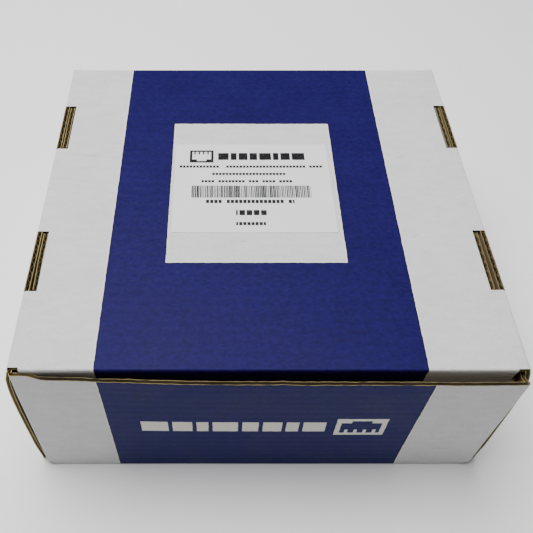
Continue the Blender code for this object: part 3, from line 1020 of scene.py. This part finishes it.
def make_flange(name, node, base, way, plastic):
    """One end of the spool: a disc with shallow pockets between its spokes, a rim bead,
    a hub and a spigot. way is 1 with the outer face down, and -1 with it up."""
    spokes, half_spoke, wall = 8, 0.065, 0.012
    sector = 2 * pi / spokes
    depth = 0.0013
    start, width = half_spoke + wall, sector - 2 * (half_spoke + wall)
    offsets = [0, half_spoke - 0.002] + [start + width * i / 22 for i in range(23)]
    offsets.append(sector - half_spoke + 0.002)
    steps = [s * sector + offset for s in range(spokes) for offset in offsets]

    def pocket(angle):
        offset = (angle + EPS) % sector
        edge = min(offset, sector - offset)
        return way * depth * smooth((edge - half_spoke) / wall + 0.05)

    rim, hub_in, hub_out = FLANGE_R, 0.0160, 0.0190
    spigot_in, spigot_out = 0.0385, 0.0417
    hub_top, spigot_top, bead = 0.0220, 0.0180, FLANGE + 0.0015
    soft = 0.0005
    outer = [(rim, bead - soft), (rim, soft), (rim - soft * 0.3, soft * 0.3),
             (rim - soft, 0.0)]
    rows = [(r, h, 0.0) for r, h in outer]
    rows += [(rim - 0.0055, 0.0, 0.0), (rim - 0.0063, 0.0, 1.0), (0.0520, 0.0, 1.0),
             (0.0512, 0.0, 0.0), (0.0350, 0.0, 0.0), (0.0344, 0.0006, 0.0),
             (0.0230, 0.0006, 0.0), (0.0224, 0.0, 0.0)]
    rows += [(r, h, 0.0) for r, h in (
        (hub_in + soft, 0.0), (hub_in, soft), (hub_in, hub_top - soft), (hub_in + soft, hub_top),
        (hub_out - soft, hub_top), (hub_out, hub_top - soft), (hub_out, FLANGE + 0.0012),
        (hub_out + 0.0012, FLANGE), (spigot_in, FLANGE), (spigot_in, spigot_top - soft),
        (spigot_in + soft, spigot_top), (spigot_out - soft, spigot_top),
        (spigot_out, spigot_top - soft), (spigot_out, FLANGE), (rim - 0.0036, FLANGE),
        (rim - 0.0030, FLANGE + 0.0006), (rim - 0.0028, FLANGE + 0.0013), (rim - 0.0024, bead),
        (rim - soft, bead))]
    profile = [(r, base + way * h, share) for r, h, share in rows]
    verts, faces = lathe(profile, steps, pocket)
    obj = piece(name, verts, faces, (plastic,), None, "spool", node)
    cut_notches(obj, base)


def cut_notches(obj, base):
    """Cuts the four rim notches and the hole that the cable starts from."""
    bm = bmesh.new()
    for k in range(4):
        angle = (k + 0.5) * HALF_PI
        made = bmesh.ops.create_cube(bm, size=1.0)
        bmesh.ops.scale(bm, verts=made["verts"], vec=(0.018, 0.0066, 0.03))
        rotate_move(bm, made["verts"], angle, round_axis(FLANGE_R, angle, base))
    hole = bmesh.ops.create_cone(bm, cap_ends=True, segments=40, radius1=0.0042,
                                 radius2=0.0042, depth=0.02)
    rotate_move(bm, hole["verts"], 0.0, (0.053, AXIS_Y, base))
    mesh = bpy.data.meshes.new("flange_tool")
    bm.to_mesh(mesh)
    bm.free()
    tool = bpy.data.objects.new("flange_tool", mesh)
    link(tool)
    modifier = obj.modifiers.new("cut", "BOOLEAN")
    modifier.object = tool
    modifier.operation = "DIFFERENCE"
    bpy.context.view_layer.update()
    cut = obj.evaluated_get(bpy.context.evaluated_depsgraph_get())
    result = bpy.data.meshes.new_from_object(cut)
    obj.modifiers.clear()
    obj.data = result
    bpy.data.objects.remove(tool)


def rotate_move(bm, verts, angle, place):
    bmesh.ops.rotate(bm, verts=verts, cent=(0, 0, 0), matrix=Matrix.Rotation(angle, 3, "Z"))
    bmesh.ops.translate(bm, verts=verts, vec=place)


def tube(path, radius, sides):
    """A round tube along a path of points, with a jacket rim and a recessed core at its ends."""
    verts = []
    final = len(path) - 1
    core = [(0.0, 0.6), (0.72, 0.6), (0.74, 0.0), (0.94, 0.0)]
    stations = [(0, share, inset) for share, inset in core]
    stations += [(i, 1.0, 0.0) for i in range(len(path))]
    stations += [(final, share, -inset) for share, inset in reversed(core)]
    for i, share, inset in stations:
        before, after = path[max(i - 1, 0)], path[min(i + 1, final)]
        along = (after - before).normalized()
        side = along.cross(Vector((0, 0, 1))).normalized()
        up = side.cross(along)
        centre = path[i] + along * inset * radius
        for k in range(sides):
            angle = 2 * pi * k / sides
            spoke = (side * cos(angle) + up * sin(angle)) * radius * max(share, 0.02)
            verts.append(tuple(centre + spoke))
    rings = range(len(stations))
    points = tuple(range(len(verts)))
    caps = [points[:sides][::-1], points[-sides:]]
    return verts, ring_faces(sides, zip(rings, rings[1:])) + caps


def make_winding(grey):
    """The outer layer of the cable as one helix, over the layers under it."""
    radius = WINDING_HIGH.x - CABLE / 2
    low, high = WINDING_LOW.z + CABLE / 2, WINDING_HIGH.z - CABLE / 2
    turns = int((high - low) / (CABLE + 0.0001))
    steps = 56
    path = []
    for i in range(turns * steps + 1):
        angle = 2 * pi * i / steps + 0.4
        spot = Vector((cos(angle) * 2, sin(angle) * 2, i / steps))
        uneven = 0.00022 * noise.noise(spot)
        z = low + (high - low) * i / (turns * steps) + uneven
        r = radius + uneven
        path.append(Vector(round_axis(r, angle, z)))
    verts, faces = tube(path, CABLE / 2, 12)
    steps = [2 * pi * i / 96 for i in range(96)]
    inner, core = BARREL_R + 0.0003, radius - 0.0016
    foot, crown = WINDING_LOW.z, WINDING_HIGH.z
    layers = []                                 # the under layers' rounded ends: radius and dip
    count = 11
    for i in range(count):
        r = inner + (core - inner) * (i + 0.5) / count
        layers += [(r - 0.0018, 0.0016), (r, 0.0002), (r + 0.0018, 0.0016)]
    profile = [(core, crown - 0.002, 0), (core, foot + 0.002, 0)]
    profile += [(r, foot + dip, 0) for r, dip in reversed(layers)]
    profile += [(inner, foot + 0.002, 0), (inner, crown - 0.002, 0)]
    profile += [(r, crown - dip, 0) for r, dip in layers]
    more, sides = lathe(profile, steps)
    start = len(verts)
    verts += more
    faces += [tuple(i + start for i in face) for face in sides]
    piece("cable_helix", verts, faces, (grey,), None, "spool", "cable_winding",
          50)


def make_cable_end(grey):
    radius = -(END_LOW.y - AXIS_Y) - CABLE / 2
    middle = (END_LOW.z + END_HIGH.z) / 2
    arc = 2 * asin(END_HIGH.x / (radius + CABLE / 2))
    path = []
    for i in range(61):
        angle = -HALF_PI + arc * (i / 60 - 0.5)
        path.append(Vector(round_axis(radius, angle, middle)))
    verts, faces = tube(path, CABLE / 2, 20)
    piece("cable_end_tube", verts, faces, (grey,), None, "spool", "cable_end", 50)

    reach = -(TAPE_LOW.y - AXIS_Y)
    foot = reach - CABLE - 0.0005
    half = (TAPE_HIGH.z - TAPE_LOW.z) / 2
    half_arc = asin(TAPE_HIGH.x / reach)
    film = 0.0002

    def place(u, v, w):
        angle = -HALF_PI + u + 0.004 * copysign(1, u) * wobble(v, 4, 0.0011)
        rise = smooth((0.0062 - abs(v)) / 0.0042)
        r = foot + (reach - foot - film) * rise + w
        return round_axis(r, angle, middle + v)

    rows = [-half + 2 * half * i / 60 for i in range(61)]
    cols = [-half_arc + 2 * half_arc * i / 40 for i in range(1, 40)]
    verts, faces, marks = [], [], []
    add_layer(verts, faces, marks, row_cells(rows, lambda v: [(-half_arc, half_arc)], cols),
              lambda v: 0.0, lambda v: film, place, (0, 0, 0))
    piece("end_tape_film", verts, faces, (clear_tape(),), None, "spool", "end_tape")


def make_spool():
    plastic = moulded_plastic()
    make_flange("lower_flange_moulding", "spool_lower_flange", SPOOL_LOW.z, 1, plastic)
    make_flange("upper_flange_moulding", "spool_upper_flange", SPOOL_HIGH.z, -1, plastic)
    low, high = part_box("spool_barrel")[0].z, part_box("spool_barrel")[1].z
    inner, soft = BARREL_R - 0.0030, 0.0003
    profile = [(BARREL_R, high - soft, 0), (BARREL_R, low + soft, 0), (BARREL_R - soft, low, 0),
               (inner + soft, low, 0), (inner, low + soft, 0), (inner, high - soft, 0),
               (inner + soft, high, 0), (BARREL_R - soft, high, 0)]
    verts, faces = lathe(profile, [2 * pi * i / 128 for i in range(128)])
    piece("barrel_tube", verts, faces, (wound_paper(),), None, "spool", "spool_barrel")
    grey = jacket()
    make_winding(grey)
    make_cable_end(grey)


# ------------ stage
CAMERA_AT = (-0.0243, TRAY_FRONT - 0.1647, TOP + 0.2906)
CAMERA_TILT = radians(38.4)                     # up from straight down


def make_stage():
    camera = bpy.data.cameras.new("camera")
    camera.lens = 45.04
    camera.sensor_width = 36
    camera.shift_x = 0.088
    camera.clip_start = 0.01
    eye = bpy.data.objects.new("camera", camera)
    eye.location = CAMERA_AT
    eye.rotation_euler = (CAMERA_TILT, 0, 0)
    link(eye)
    bpy.context.scene.camera = eye

    bpy.ops.mesh.primitive_plane_add(size=8)
    floor = bpy.context.object
    floor.name = "floor"
    n = Nodes("floor_white")
    n.finish((0.93, 0.93, 0.93), 0.8)
    floor.data.materials.append(n.mat)
    floor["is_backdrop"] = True

    lamp("overhead", (-0.26, 0.20, 1.3), (0.0, 0.0, 0.0), 1.3, 37)
    lamp("front_fill", (-0.6, -1.5, 0.5), (0.0, 0.0, 0.05), 1.2, 0.4)

    world = bpy.data.worlds.new("studio")
    bpy.context.scene.world = world
    world.use_nodes = True
    back = world.node_tree.nodes["Background"]
    back.inputs["Color"].default_value = (1.0, 1.0, 1.0, 1.0)
    back.inputs["Strength"].default_value = 0.145


def lamp(name, place, target, size, power):
    data = bpy.data.lights.new(name, "AREA")
    data.shape = "DISK"
    data.size = size
    data.energy = power
    obj = bpy.data.objects.new(name, data)
    obj.location = place
    aim = Vector(target) - Vector(place)
    obj.rotation_euler = aim.to_track_quat("-Z", "Y").to_euler()
    link(obj)


make_stage()
make_label_panel()
make_end_walls()
for SIDE, SIGN in (("left", -1), ("right", 1)):
    make_side(SIDE, SIGN)
    make_corner_flaps(SIDE, SIGN)
make_lid()
make_sticker()
make_spool()

boxes = {"cad": CAD_BOX, "visual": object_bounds()}
{key: [list(corner) for corner in box] for key, box in boxes.items()}
